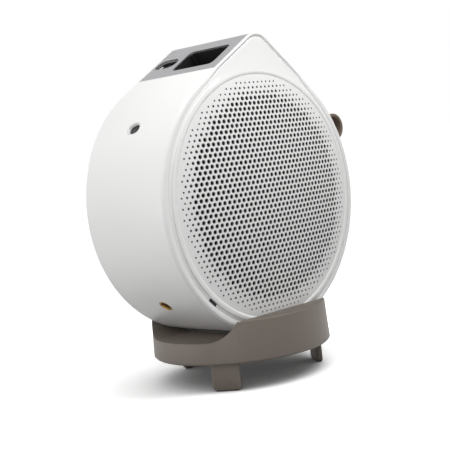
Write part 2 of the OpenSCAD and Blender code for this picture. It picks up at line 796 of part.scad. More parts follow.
module woofer_cone() {
  cone_t = 1.5;
  deep = -box_wall - 7;
  edge = flange_r - 4 - run_gap;
  color("#181818") speaker_place() translate([0, 0, speaker_front]) rotate_extrude() {
    polygon([[0, deep - cone_t], [coil_r, deep - cone_t], [cone_r - 2, -1 - cone_t], [edge, -1 - cone_t],
      [edge, -1], [cone_r - 2, -1], [coil_r, deep], [0, deep]]);
    translate([coil_r - 0.7, deep - cone_t - 8]) square([0.7, 8.5]);
  }
}

// Steel bands in the drum that the stand's magnets hold
band_in = 16;
band_w = 12;
band_t = 1.5;
band_from = 100;
band_to = 212;

module steel_bands() {
  color("lightgray") drum() both_sides() across() rotate([0, 0, 90 - band_to])
    rotate_extrude(angle = band_to - band_from) translate([inner_r - band_t - slip, band_in]) square([band_t, band_w]);
}

// Stand
cut_gap = 0.4;
side_gap = trough_gap - 0.1;
trough_half = face_x + trough_gap;
trough_z = axis_h - drum_r + seat_depth;
stand_top = trough_z + stand_rise;
stand_bottom = trough_z - stand_under;
cavity_r = stand_r - stand_wall;
cavity_top = trough_z - 4.5;
plate_d = 2.2;
base_r = cavity_r - 0.2;
wall_x = trough_half + 3;
pad_in = 14;
pad_out = 24;
pad_half = 24;
pad_sink = seat_depth + 0.6;
edge_cut = 1.2;
rim_cut = 0.5;

module trough_2d() {
  flat = trough_half - trough_round;
  translate([-flat, trough_z]) square([2 * flat, stand_top]);
  for (m = [0, 1]) mirror([m, 0]) translate([flat, trough_z + trough_round]) {
    rotate(-90) quarter(trough_round);
    square([trough_round, stand_top]);
  }
}

module stand_body() {
  color("#7d756e") difference() {
    union() {
      stand_shell();
      for (p = boss_at) translate([p[0], p[1], stand_bottom + plate_d])
        cylinder(r = 4, h = cavity_top - stand_bottom - plate_d + 1);
    }
    for (p = boss_at) translate([p[0], p[1], stand_bottom]) cylinder(r = 1.5, h = 6.4);
  }
}

// The stand's outer form with its trough and its hollow underside
module stand_shell() {
  lift = stand_top - stand_bottom;
  difference() {
    translate([0, 0, stand_bottom]) rotate_extrude() polygon([[0, 0], [stand_r + stand_flare - edge_cut, 0],
      [stand_r + stand_flare, edge_cut], [stand_r, lift - rim_cut], [stand_r - rim_cut, lift], [0, lift]]);
    rotate([90, 0, 0]) linear_extrude(3 * stand_r, center = true) trough_2d();
    drum() across() {
      cylinder(r = drum_r + cut_gap, h = drum_w + 2 * cut_gap, center = true);
      cylinder(r = cover_r + side_gap, h = 2 * face_x + 2 * side_gap, center = true);
    }
    translate([0, 0, stand_bottom - 1]) cylinder(r = cavity_r, h = cavity_top - stand_bottom + 1);
    both_sides() intersection() {
      translate([0, 0, stand_bottom]) cylinder(r = cavity_r, h = lift - 3);
      translate([wall_x, -stand_r, 0]) cube([stand_r, 2 * stand_r, stand_top]);
    }
    for (y = [-1, 1]) translate([-pad_half - fit_gap, y > 0 ? pad_in - fit_gap : -pad_out - fit_gap, trough_z - pad_sink])
      cube([2 * pad_half + 2 * fit_gap, pad_out - pad_in + 2 * fit_gap, 6]);
  }
}

module cradle_pads() {
  color("#2c2c2c") difference() {
    for (y = [pad_in, -pad_out]) translate([-pad_half, y, trough_z - pad_sink])
      cube([2 * pad_half, pad_out - pad_in, 6]);
    drum() across() cylinder(r = drum_r + run_gap, h = 3 * pad_half, center = true, $fn = 720);
  }
}

boss_at = [[0, 34], [-30, -17], [30, -17]];

module stand_base_plate() {
  color("#6b645e") difference() {
    translate([0, 0, stand_bottom]) cylinder(r = base_r, h = plate_d);
    for (p = boss_at) translate([p[0], p[1], stand_bottom - 1]) cylinder(r = 1.7, h = 6);
  }
}

module stand_screws() {
  color("gray") for (p = boss_at) translate([p[0], p[1], stand_bottom]) {
    translate([0, 0, -1.2]) cylinder(r = 2.8, h = 1.2);
    translate([0, 0, -eps]) cylinder(r = 1.45, h = 6);
  }
}

module stand_magnets() {
  color("silver") for (x = [-22, 22], y = [-10, 10])
    translate([x, y, cavity_top - 4]) cylinder(r = 6, h = 4);
}

module stand_weights() {
  color("dimgray") both_sides() intersection() {
    translate([0, 0, stand_bottom + plate_d]) cylinder(r = cavity_r - 0.6, h = 14);
    translate([wall_x + 0.6, -stand_r, 0]) cube([stand_r, 2 * stand_r, stand_top]);
  }
}

module leg_place() for (a = [-leg_turn, leg_turn, 180]) rotate([0, 0, a]) children();

module stand_legs() {
  color("#7d756e") leg_place() translate([leg_r - leg_t, 0, foot_t]) rotate([90, 0, 90]) linear_extrude(leg_t) {
    h = stand_bottom - foot_t;
    r = 2;
    translate([-leg_w / 2, r]) square([leg_w, h - r]);
    translate([r - leg_w / 2, 0]) square([leg_w - 2 * r, r]);
    for (m = [0, 1]) mirror([m, 0]) translate([leg_w / 2 - r, r]) rotate(-90) quarter(r);
  }
}

module foot_pads() {
  color("#2c2c2c") leg_place() translate([leg_r - leg_t, 2 - leg_w / 2, 0]) cube([leg_t, leg_w - 4, foot_t]);
}

row() drum_shell();
row() side_cover_right();
row() side_cover_left();
row() grille_right();
row() grille_left();
row() cloth_right();
row() cloth_left();
row() lens_panel();
row() lens_well();
row() lens_barrel();
row() focus_carriage();
row() front_lens();
row() rear_lens();
row() focus_motor();
row() focus_screw();
row() light_engine();
row() led_module();
row() imager_board();
row() heat_sink();
row() sensor_window();
row() sensor_module();
row() receiver_bezel();
row() receiver_window();
row() tripod_insert();
row() power_key();
row() volume_down_key();
row() volume_up_key();
row() speaker_mode_key();
row() switch_board();
row() port_panel();
row() port_board();
row() hdmi_socket();
row() usb_socket();
row() audio_jack();
row() carry_strap();
row() strap_anchor();
row() chassis_plate();
row() chassis_screws();
row() main_board();
row() battery_pack();
row() fan_frame();
row() fan_rotor();
row() speaker_box();
row() woofer_frame();
row() woofer_magnet();
row() woofer_cone();
row() steel_bands();
row() stand_body();
row() cradle_pads();
row() stand_base_plate();
row() stand_screws();
row() stand_magnets();
row() stand_weights();
row() stand_legs();
row() foot_pads();
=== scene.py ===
import math

import bpy
from mathutils import Matrix, Vector
from mathutils.geometry import delaunay_2d_cdt


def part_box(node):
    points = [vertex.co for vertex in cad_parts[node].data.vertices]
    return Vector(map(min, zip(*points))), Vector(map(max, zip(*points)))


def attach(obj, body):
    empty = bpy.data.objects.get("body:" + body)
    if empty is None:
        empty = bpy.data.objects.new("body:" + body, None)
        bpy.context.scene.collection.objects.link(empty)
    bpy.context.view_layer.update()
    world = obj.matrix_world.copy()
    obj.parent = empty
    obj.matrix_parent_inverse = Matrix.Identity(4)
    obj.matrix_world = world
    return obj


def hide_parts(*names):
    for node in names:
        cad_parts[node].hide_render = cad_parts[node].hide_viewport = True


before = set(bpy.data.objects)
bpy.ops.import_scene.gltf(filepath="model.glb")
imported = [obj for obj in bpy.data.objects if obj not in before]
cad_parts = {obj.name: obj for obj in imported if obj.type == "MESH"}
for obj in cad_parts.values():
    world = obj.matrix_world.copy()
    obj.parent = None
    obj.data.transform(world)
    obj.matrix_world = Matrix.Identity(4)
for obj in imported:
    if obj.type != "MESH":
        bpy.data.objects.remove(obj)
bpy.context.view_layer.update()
print("frame loaded,", len(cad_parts), "nodes")

mm = 0.001
mergeGap = 0.01 * mm   # points closer than this are one
grilleLow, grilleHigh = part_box("grille_right")
axisY = (grilleLow[1] + grilleHigh[1]) / 2   # the drum's axis
axisZ = (grilleLow[2] + grilleHigh[2]) / 2


# Camera, from the fit of the drum's rims and the stand in the photograph
view = {
    "lens": 83.9,
    "sensor": 36,
    "clip": (0.01, 50),
    "right": (0.6986, 0.7060, -0.1164),
    "back": (0.7154, -0.6945, 0.0752),
    "offset": (0.036 * mm, -17.542 * mm, 685.376 * mm),
}


def placeCamera(v):
    back = Vector(v["back"]).normalized()
    up = back.cross(Vector(v["right"])).normalized()
    right = up.cross(back)
    spot = Vector((0, axisY, axisZ)) + right * v["offset"][0] + up * v["offset"][1] + back * v["offset"][2]
    data = bpy.data.cameras.new("photoCamera")
    data.lens, data.sensor_width = v["lens"], v["sensor"]
    data.clip_start, data.clip_end = v["clip"]
    camera = bpy.data.objects.new("photoCamera", data)
    bpy.context.scene.collection.objects.link(camera)
    camera.matrix_world = Matrix((
        (right.x, up.x, back.x, spot.x),
        (right.y, up.y, back.y, spot.y),
        (right.z, up.z, back.z, spot.z),
        (0, 0, 0, 1)))
    bpy.context.scene.camera = camera


placeCamera(view)
bpy.context.scene.view_settings.view_transform = "Standard"
print("camera placed")


# Linear colour of an sRGB code
def srgb(text):
    parts = [int(text[i:i + 2], 16) / 255 for i in (1, 3, 5)]
    return [c / 12.92 if c <= 0.04045 else ((c + 0.055) / 1.055) ** 2.4 for c in parts] + [1.0]


def addNode(tree, kind, settings={}, links={}):
    node = tree.nodes.new("ShaderNode" + kind)
    for key, value in settings.items():
        if isinstance(key, str) and hasattr(node, key):
            setattr(node, key, value)
        else:
            node.inputs[key].default_value = value
    for key, socket in links.items():
        tree.links.new(socket, node.inputs[key])
    return node


def startFinish(name, settings):
    mat = bpy.data.materials.new(name)
    mat.use_nodes = True
    tree = mat.node_tree
    tree.nodes.clear()
    shader = addNode(tree, "BsdfPrincipled", settings)
    addNode(tree, "OutputMaterial", {}, {"Surface": shader.outputs[0]})
    place = addNode(tree, "TexCoord").outputs["Object"]
    return mat, tree, shader, place


# Noise scale for features of a size in mm
def perMetre(sizeMm):
    return 1000 / sizeMm


noiseDetail = {"patch": 3.0, "grain": 2.0}


# A finish with mottled colour, uneven gloss and a fine relief, the base of every surface here
def grainedFinish(name, look):
    mat, tree, shader, place = startFinish(name, look.get("shader", {}))
    patch = addNode(tree, "TexNoise", {"Scale": perMetre(look["patch"]), "Detail": noiseDetail["patch"]},
                    {"Vector": place})
    tint = addNode(tree, "Mix", {"data_type": "RGBA", 6: srgb(look["colour"]), 7: srgb(look["shade"])},
                   {0: patch.outputs[0]})
    if "paintedShade" in look:   # painted shade in holes and bores, by an attribute of the mesh
        shadeMask = addNode(tree, "Attribute", {"attribute_name": look["paintedShade"][0]})
        tint = addNode(tree, "Mix", {"data_type": "RGBA", 7: srgb(look["paintedShade"][1])},
                       {0: shadeMask.outputs["Fac"], 6: tint.outputs[2]})
    tree.links.new(tint.outputs[2], shader.inputs["Base Color"])
    grain = addNode(tree, "TexNoise", {"Scale": perMetre(look["grain"]), "Detail": noiseDetail["grain"]},
                    {"Vector": place})
    gloss = addNode(tree, "MapRange", {3: look["gloss"][0], 4: look["gloss"][1]}, {0: grain.outputs[0]})
    tree.links.new(gloss.outputs[0], shader.inputs["Roughness"])
    relief = addNode(tree, "Bump", {"Strength": look["relief"], "Distance": look["depth"] * mm},
                     {"Height": grain.outputs[0]})
    tree.links.new(relief.outputs[0], shader.inputs["Normal"])
    return mat


# Two colours, sizes in mm of their patches and of the grain, range of roughness, relief and its depth in mm
finishes = {
    # Moulded white ABS, spark-eroded mould: soft sheen, grain drawn coarse at 0.7 mm so that it shows
    "whiteAbs": dict(colour="#F4F4F3", shade="#EFEFEE", patch=70, grain=0.7,
                     gloss=(0.36, 0.46), relief=0.06, depth=0.02, shader={"IOR": 1.54}),
    # Powder-coated steel sheet: faint orange peel; the punched holes' walls are painted grey as painted
    # shade, partly also the coat thinning there
    "powderSteel": dict(colour="#F2F2F1", shade="#ECECEB", patch=40, grain=1.1,
                        gloss=(0.42, 0.55), relief=0.08, depth=0.03,
                        paintedShade=("holeWallShade", "#6E6E70"), shader={"IOR": 1.5}),
    # Bead-blasted anodised aluminium: satin grey metal
    "blastedAluminium": dict(colour="#A6A6A8", shade="#9B9B9D", patch=30, grain=0.5,
                             gloss=(0.34, 0.44), relief=0.05, depth=0.01, shader={"Metallic": 1.0}),
    # Textured black ABS of the inner mouldings: matt, faintly pebbled
    "blackAbs": dict(colour="#1B1B1D", shade="#151517", patch=20, grain=0.6,
                     gloss=(0.4, 0.55), relief=0.1, depth=0.02, shader={"IOR": 1.54}),
    # Satin black of the lens well and the sensor cup, smoother than the inner mouldings
    "wellBlack": dict(colour="#222223", shade="#1C1C1D", patch=20, grain=0.5,
                      gloss=(0.3, 0.38), relief=0.03, depth=0.01, shader={"IOR": 1.5}),
    # Coated glass of the sensors: nearly black with a weak reflection
    "sensorGlass": dict(colour="#09090C", shade="#060608", patch=5, grain=2,
                        gloss=(0.2, 0.28), relief=0.01, depth=0.01, shader={"IOR": 1.3}),
    # Moulded polycarbonate of the stand with a soft-feel coat: matt taupe
    "taupePc": dict(colour="#675E56", shade="#615850", patch=50, grain=0.8,
                    gloss=(0.5, 0.62), relief=0.08, depth=0.02, shader={"IOR": 1.52}),
    # Moulded rubber of the pads: dull dark grey, finely pebbled
    "tightRubber": dict(colour="#3A3836", shade="#333130", patch=10, grain=0.5,
                        gloss=(0.7, 0.85), relief=0.15, depth=0.03, shader={"IOR": 1.5}),
    # Turned brass: warm metal, the bore darkened with painted shade
    "brass": dict(colour="#8E7140", shade="#7B6033", patch=6, grain=0.4,
                  gloss=(0.22, 0.34), relief=0.05, depth=0.01,
                  paintedShade=("deep", "#2A2010"), shader={"Metallic": 1.0}),
    # Zinc-plated steel: cool bright metal, slightly clouded
    "zincSteel": dict(colour="#B9BBBD", shade="#A7A9AC", patch=8, grain=0.4,
                      gloss=(0.25, 0.4), relief=0.05, depth=0.01, shader={"Metallic": 1.0}),
    # Smoked acrylic: near black and glossy
    "smokedAcrylic": dict(colour="#0E0E12", shade="#0B0B0E", patch=20, grain=2,
                          gloss=(0.06, 0.1), relief=0.01, depth=0.01, shader={"IOR": 1.49}),
    # Solder-masked glass fibre: green with a soft gloss
    "circuitBoard": dict(colour="#1F5B38", shade="#184A2D", patch=4, grain=0.8,
                         gloss=(0.3, 0.45), relief=0.1, depth=0.03, shader={"IOR": 1.5}),
    # Die-cast aluminium: dull grey metal with a sandy skin
    "castAluminium": dict(colour="#A3A5A7", shade="#94969A", patch=12, grain=0.9,
                          gloss=(0.4, 0.6), relief=0.15, depth=0.05, shader={"Metallic": 1.0}),
    # Heat-shrink film of the battery: blue, glossy, slightly rippled
    "shrinkWrap": dict(colour="#2F4C9A", shade="#2A4388", patch=20, grain=3,
                       gloss=(0.25, 0.4), relief=0.1, depth=0.05, shader={"IOR": 1.5}),
    # Pressed paper pulp of the cone: matt, fibrous, near black
    "pulpCone": dict(colour="#2A2928", shade="#211F1E", patch=5, grain=0.7,
                     gloss=(0.75, 0.9), relief=0.3, depth=0.06, shader={"IOR": 1.45}),
    # Sintered ferrite: dark grey and finely rough
    "ferrite": dict(colour="#3B3B3D", shade="#303032", patch=8, grain=0.9,
                    gloss=(0.5, 0.7), relief=0.2, depth=0.04, shader={"IOR": 2.0}),
    # Tanned leather, smooth side out: warm grey-brown, fine pores, little sheen
    "leather": dict(colour="#75665A", shade="#68594E", patch=6, grain=0.8,
                    gloss=(0.68, 0.85), relief=0.3, depth=0.1, shader={"IOR": 1.5}),
    # Woven acoustic cloth, matt black so that what lies behind it stays dark; also the black block that
    # paints shade into the pry notch
    "cloth": dict(colour="#0D0D0E", shade="#09090A", patch=3, grain=0.6,
                  gloss=(0.8, 0.95), relief=0.4, depth=0.1, shader={"IOR": 1.45}),
}
made = {name: grainedFinish(name, look) for name, look in finishes.items()}

# Every solid gets a finish, also those that a piece below replaces
dressed = {
    "whiteAbs": ["drum_shell", "side_cover_right", "side_cover_left", "receiver_bezel", "power_key",
                 "volume_down_key", "volume_up_key", "speaker_mode_key"],
    "powderSteel": ["grille_right", "grille_left"],
    "blastedAluminium": ["lens_panel"],
    "wellBlack": ["lens_well"],
    "blackAbs": ["lens_barrel", "focus_carriage", "sensor_module", "port_panel", "audio_jack",
                 "strap_anchor", "fan_frame", "fan_rotor", "speaker_box"],
    "smokedAcrylic": ["sensor_window", "receiver_window", "front_lens", "rear_lens"],
    "taupePc": ["stand_body", "stand_legs", "stand_base_plate"],
    "tightRubber": ["cradle_pads", "foot_pads"],
    "brass": ["tripod_insert"],
    "zincSteel": ["focus_screw", "focus_motor", "chassis_screws", "stand_screws", "hdmi_socket",
                  "usb_socket", "stand_magnets", "stand_weights", "steel_bands", "woofer_frame",
                  "chassis_plate"],
    "circuitBoard": ["imager_board", "switch_board", "port_board", "main_board"],
    "castAluminium": ["light_engine", "led_module", "heat_sink"],
    "shrinkWrap": ["battery_pack"],
    "pulpCone": ["woofer_cone"],
    "ferrite": ["woofer_magnet"],
    "leather": ["carry_strap"],
    "cloth": ["cloth_right", "cloth_left"],
}
for finish, names in dressed.items():
    for name in names:
        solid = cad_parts[name]
        solid.data.materials.clear()
        solid.data.materials.append(made[finish])
print("finishes on the solids")


# Outlines of the drum in its own plane, in mm from the axis: round stretch, two flats and a rounded tip
drum = {"r": 86, "half": 37.1, "lensLean": 31, "keyLean": 40.4, "tip": 14, "wall": 2.6, "corner": 17,
        "seamR": 81.3, "seamFlat": 83.3, "seamTip": 11.3, "seamGap": 0.2, "domeR": 372, "grilleR": 76.1}
# Steps in each stretch of an outline
outlineSteps = {"round": 144, "ease": 6, "flat": 8, "tip": 12}


def lean(degrees):
    a = math.radians(degrees)
    return Vector((math.sin(a), math.cos(a)))


def outline(r, flat, tip):
    steps = outlineSteps
    reach = math.hypot(flat, drum["corner"])
    ease = math.degrees(math.acos(min(1, r / reach)) - math.atan2(drum["corner"], flat))
    lensN, keyN = lean(-drum["lensLean"]), lean(drum["keyLean"])
    lensT, keyT = Vector((lensN.y, -lensN.x)), Vector((-keyN.y, keyN.x))
    half = math.radians((drum["lensLean"] + drum["keyLean"]) / 2)
    top = lean((drum["keyLean"] - drum["lensLean"]) / 2) * ((flat - tip) / math.cos(half))
    start, stop = -drum["lensLean"] - ease, drum["keyLean"] + ease - 360
    pts = [lean(start + (stop - start) * i / steps["round"]) * r for i in range(steps["round"] + 1)]
    keyBend, lensBend = keyN * flat + keyT * drum["corner"], lensN * flat + lensT * drum["corner"]
    for a, b, n in ((pts[-1], keyBend, steps["ease"]), (keyBend, top + keyN * tip, steps["flat"])):
        pts += [a.lerp(b, i / n) for i in range(1, n + 1)]
    sweep, n = drum["keyLean"] + drum["lensLean"], steps["tip"]
    pts += [top + lean(drum["keyLean"] - sweep * i / n) * tip for i in range(1, n + 1)]
    for a, b, n in ((pts[-1], lensBend, steps["flat"]), (lensBend, pts[0], steps["ease"])):
        pts += [a.lerp(b, i / n) for i in range(1, n + 1)]
    return pts[:-1]


# Circle with a point for each point of the seam's outline
def ring(r):
    return [p.normalized() * r for p in outline(drum["seamR"], drum["seamFlat"], drum["seamTip"])]


# Puts plane points at a distance along the axis, one for all or one each
def atX(points, x):
    each = x if isinstance(x, list) else [x] * len(points)
    return [Vector((v * mm, axisY + p.x * mm, axisZ + p.y * mm)) for p, v in zip(points, each)]


# Distances along the axis on the right side (1) or mirrored to the left side (-1)
def onSide(side, x):
    return [side * v for v in x] if isinstance(x, list) else side * x


# Distance along the axis of the shallow ball that both grilles follow
def domeX(r):
    return drum["half"] + (drum["seamR"] ** 2 - r * r) / (2 * drum["domeR"])


def pick(piece):
    bpy.ops.object.select_all(action="DESELECT")
    piece.select_set(True)
    bpy.context.view_layer.objects.active = piece


def newPiece(name, verts, edges, faces):
    mesh = bpy.data.meshes.new(name)
    mesh.from_pydata(verts, edges, faces)
    piece = bpy.data.objects.new(name, mesh)
    bpy.context.scene.collection.objects.link(piece)
    pick(piece)
    return piece


# Piece from points and faces, with its faces turned outwards
def facedPiece(name, verts, faces):
    piece = newPiece(name, verts, [], faces)
    bpy.ops.object.mode_set(mode="EDIT")
    bpy.ops.mesh.select_all(action="SELECT")
    bpy.ops.mesh.normals_make_consistent(inside=False)
    bpy.ops.object.mode_set(mode="OBJECT")
    return piece


# Joins closed rings of points into one skin: the rim's width changes round the drum, which no bevel gives
def skinRings(name, rings):
    n = len(rings[0])
    verts = [p for loop in rings for p in loop]
    faces = []
    for k in range(len(rings)):
        a, b = k * n, (k + 1) % len(rings) * n
        faces += [(a + i, a + (i + 1) % n, b + (i + 1) % n, b + i) for i in range(n)]
    return facedPiece(name, verts, faces)


# Puts a piece in place by a matrix and applies it to the mesh
def settle(piece, place):
    piece.matrix_world = place
    pick(piece)
    bpy.ops.object.transform_apply(location=True, rotation=True, scale=True)


# Rounds the edges that are sharper than an angle
def softEdges(piece, width, steps, angle):
    soft = piece.modifiers.new("edge", "BEVEL")
    soft.width, soft.segments = width * mm, steps
    soft.limit_method, soft.angle_limit = "ANGLE", math.radians(angle)
    bpy.ops.object.modifier_apply(modifier=soft.name)


# Block with its four upright edges rounded, put in place by a matrix and used as a cutter or a piece
def roundedBlock(name, size, corner, place, steps=6, flare=0):
    bpy.ops.object.select_all(action="DESELECT")
    bpy.ops.mesh.primitive_cube_add(size=1)
    block = bpy.context.object
    block.name = name
    block.scale = [v * mm for v in size]
    bpy.ops.object.transform_apply(location=False, rotation=False, scale=True)
    if corner:
        bpy.ops.object.mode_set(mode="EDIT")
        bpy.ops.mesh.select_all(action="DESELECT")
        bpy.ops.object.mode_set(mode="OBJECT")
        for edge in block.data.edges:
            a, b = (block.data.vertices[v].co for v in edge.vertices)
            edge.select = abs(a.z - b.z) > 0.5 * size[2] * mm
        bpy.ops.object.mode_set(mode="EDIT")
        bpy.ops.mesh.select_mode(type="EDGE")
        bpy.ops.mesh.bevel(offset=corner * mm, segments=steps)
        bpy.ops.object.mode_set(mode="OBJECT")
    if flare:   # widens the upper end
        for vert in block.data.vertices:
            if vert.co.z > 0:
                vert.co.x *= 1 + 2 * flare / size[0]
                vert.co.y *= 1 + 2 * flare / size[1]
    settle(block, place)
    return block


def roundPlug(name, r, depth, place, sides=48):
    bpy.ops.object.select_all(action="DESELECT")
    bpy.ops.mesh.primitive_cylinder_add(vertices=sides, radius=r * mm, depth=depth * mm)
    plug = bpy.context.object
    plug.name = name
    settle(plug, place)
    return plug


# Frame at a lean from upright: x along the drum's axis, s along its surface, out from the axis
def onDrum(leanAt, x, s, out):
    base = Matrix.Translation((0, axisY, axisZ)) @ Matrix.Rotation(-math.radians(leanAt), 4, "X")
    return base @ Matrix.Translation((x * mm, s * mm, out * mm))


def cutAway(piece, cutters):
    for cutter in cutters:
        pick(piece)
        cut = piece.modifiers.new("cut", "BOOLEAN")
        cut.object, cut.operation, cut.solver = cutter, "DIFFERENCE", "EXACT"
        bpy.ops.object.modifier_apply(modifier=cut.name)
        bpy.data.objects.remove(cutter)


def finishPiece(piece, finish, body, angle=30):
    piece.data.materials.clear()
    piece.data.materials.append(made[finish])
    pick(piece)
    bpy.ops.object.shade_smooth_by_angle(angle=math.radians(angle))
    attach(piece, body)


# Moulded drum shell: rounded rims, recess for the lens panel and every opening
shellLook = {
    # rims
    "rimStart": 34.8, "rimDepth": 2.3, "rimSteps": 8, "rimShare": 0.6,
    "beadShare": 0.16, "beadFrom": 4.4, "beadOver": 2.1, "groove": 0.8,
    "landShares": (0.3, 0.7, 1.0), "landFall": 0.03, "landCurve": 1.3, "lipX": 32.2, "innerX": 30.5,
    # recess of the panel, then openings with their corners and places
    "panel": (35.95, 15.0, 47.5, 88.5, 84.2),
    "window": (38.8, 24.2, 60), "windowCorner": 4.2, "windowAt": (7.9, 34.7),
    "sensor": (19.0, 11.0, 14), "sensorCorner": 5.4, "sensorAt": (-24.2, 34.1),
    "key": (10.5, 5.5, 14), "keyCorner": 2.45, "keys": 4, "keyPitch": 13, "keyS": 24,
    "ports": (54.3, 18.3, 14), "portCorner": 3, "portAt": 90,
    "receiver": 11.9, "receiverAt": -54, "receiverOval": 0.74,
    "insert": 9.5, "insertAt": -134.3, "plugDepth": 16,
    "slot": (54.6, 2.8, 24), "slotOff": 8.2, "strapAt": 66.3,
}


# Strip that starts on the lens flat, turns over the tip and stops on the key flat, between two heights
def tipStrip(name, half, start, stop, high, low):
    lensN, keyN = lean(-drum["lensLean"]), lean(drum["keyLean"])
    lensT, keyT = Vector((lensN.y, -lensN.x)), Vector((-keyN.y, keyN.x))
    first = outlineSteps["round"] + outlineSteps["ease"] + outlineSteps["flat"]
    last = first + outlineSteps["tip"]

    def edge(height):
        arc = outline(height, height, drum["tip"] + height - drum["r"])[first:last + 1]
        return [keyN * height + keyT * stop] + arc + [lensN * height + lensT * start]
    top, under = edge(high), edge(low)
    loop, m = top + under[::-1], len(top)
    n = len(loop)
    verts = atX(loop, -half) + atX(loop, half)
    faces = [(i, (i + 1) % n, n + (i + 1) % n, n + i) for i in range(n)]
    for base in (0, n):   # end faces as a strip of quads
        faces += [(base + i, base + i + 1, base + n - 2 - i, base + n - 1 - i) for i in range(m - 1)]
    return facedPiece(name, verts, faces)


def makeShell(look):
    outer = outline(drum["r"], drum["r"], drum["tip"])
    gap, wall = drum["seamGap"], drum["wall"]
    lip = outline(drum["seamR"] + gap, drum["seamFlat"] + gap, drum["seamTip"] + gap)
    inner = outline(drum["r"] - wall, drum["r"] - wall, drum["tip"] - wall)
    # the rim is broad and soft on the round, and a narrow bead with a groove behind it at the flats
    widths = [(g - p).length for g, p in zip(lip, outer)]
    bead = [min(1, max(0, (look["beadFrom"] - w) / look["beadOver"])) for w in widths]
    crown = [look["rimShare"] - look["beadShare"] * b for b in bead]
    half = []
    for i in range(look["rimSteps"]):
        turn = math.radians(90 * i / (look["rimSteps"] - 1))
        row = [p.lerp(g, c * (1 - math.cos(turn))) for g, p, c in zip(lip, outer, crown)]
        half.append((row, look["rimStart"] + look["rimDepth"] * math.sin(turn)))
    crest = look["rimStart"] + look["rimDepth"]
    for share in look["landShares"]:
        row = [p.lerp(g, c * (1 - share) + share) for g, p, c in zip(lip, outer, crown)]
        fall = share ** look["landCurve"]
        half.append((row, [crest - (look["landFall"] + look["groove"] * b) * fall for b in bead]))
    half += [(lip, look["lipX"]), (inner, look["innerX"])]
    rings = [atX(p, x) for p, x in half] + [atX(p, onSide(-1, x)) for p, x in half[::-1]]
    shell = skinRings("shellMoulding", rings)
    lensAt, keyAt, out = -drum["lensLean"], drum["keyLean"], drum["r"]
    oval = Matrix.Diagonal((1, look["receiverOval"], 1, 1))
    cuts = [
        tipStrip("panelCut", *look["panel"]),
        roundedBlock("windowCut", look["window"], look["windowCorner"],
                     onDrum(lensAt, *look["windowAt"], out)),
        roundedBlock("sensorCut", look["sensor"], look["sensorCorner"],
                     onDrum(lensAt, *look["sensorAt"], out)),
        roundPlug("receiverCut", look["receiver"] / 2, look["plugDepth"],
                  onDrum(look["receiverAt"], 0, 0, out) @ oval),
        roundPlug("insertCut", look["insert"] / 2, look["plugDepth"], onDrum(look["insertAt"], 0, 0, out)),
        roundedBlock("portCut", look["ports"], look["portCorner"], onDrum(look["portAt"], 0, 0, out)),
    ]
    for i in range(look["keys"]):
        x = (i - (look["keys"] - 1) / 2) * look["keyPitch"]
        spot = onDrum(keyAt, x, -look["keyS"], out)
        cuts.append(roundedBlock("keyCut", look["key"], look["keyCorner"], spot))
    for side in (-1, 1):
        spot = onDrum(look["strapAt"], 0, side * look["slotOff"], out)
        cuts.append(roundedBlock("slotCut", look["slot"], 0, spot))
    cutAway(shell, cuts)
    finishPiece(shell, "whiteAbs", "drum")
    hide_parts("drum_shell")


makeShell(shellLook)
print("shell made")

# Lens panel: satin aluminium with chamfered openings for the lens and the two sensors
panelLook = {
    "strip": (35.8, 15.1, 47.6, 85.6, 84.3), "edge": 0.3, "edgeSteps": 2, "edgeAngle": 50,
    "window": (37.4, 22.6, 12), "windowCorner": 3.6, "windowAt": (8.6, 33.8),
    "sensor": (19.2, 11.2, 12), "sensorCorner": 5.5, "sensorAt": (-24.2, 34.1),
    "chamfer": 0.55, "cornerSteps": 10,
}


def makePanel(look):
    panel = tipStrip("lensPanelPlate", *look["strip"])
    softEdges(panel, look["edge"], look["edgeSteps"], look["edgeAngle"])
    top, wide, steps = look["strip"][3], look["chamfer"], look["cornerSteps"]
    cuts = []
    for part in ("window", "sensor"):
        x, along = look[part + "At"]
        w, d, h = look[part]
        corner = look[part + "Corner"]
        spot = onDrum(-drum["lensLean"], x, along, top)
        cuts.append(roundedBlock("opening", (w, d, h), corner, spot, steps))
        spot = onDrum(-drum["lensLean"], x, along, top + wide)
        size = (w - 2 * wide, d - 2 * wide, 4 * wide)
        cuts.append(roundedBlock("chamfer", size, corner - wide, spot, steps, 2 * wide))
    cutAway(panel, cuts)
    finishPiece(panel, "blastedAluminium", "drum")
    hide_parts("lens_panel")


makePanel(panelLook)

# Sensor recess: an oval black cup with a camera and a range sensor under small domes
sensorLook = {
    "cup": (20.6, 12.6, 5.0), "cupCorner": 6.2, "hollow": (18.6, 10.6, 5.0), "hollowCorner": 5.25,
    "cornerSteps": 12, "at": (-24.2, 34.1), "top": 84.1, "floor": 2.2,
    "lenses": ((-4.6, 4.3), (4.7, 4.3)), "domeFlat": 0.32, "domeSteps": (32, 16),
}


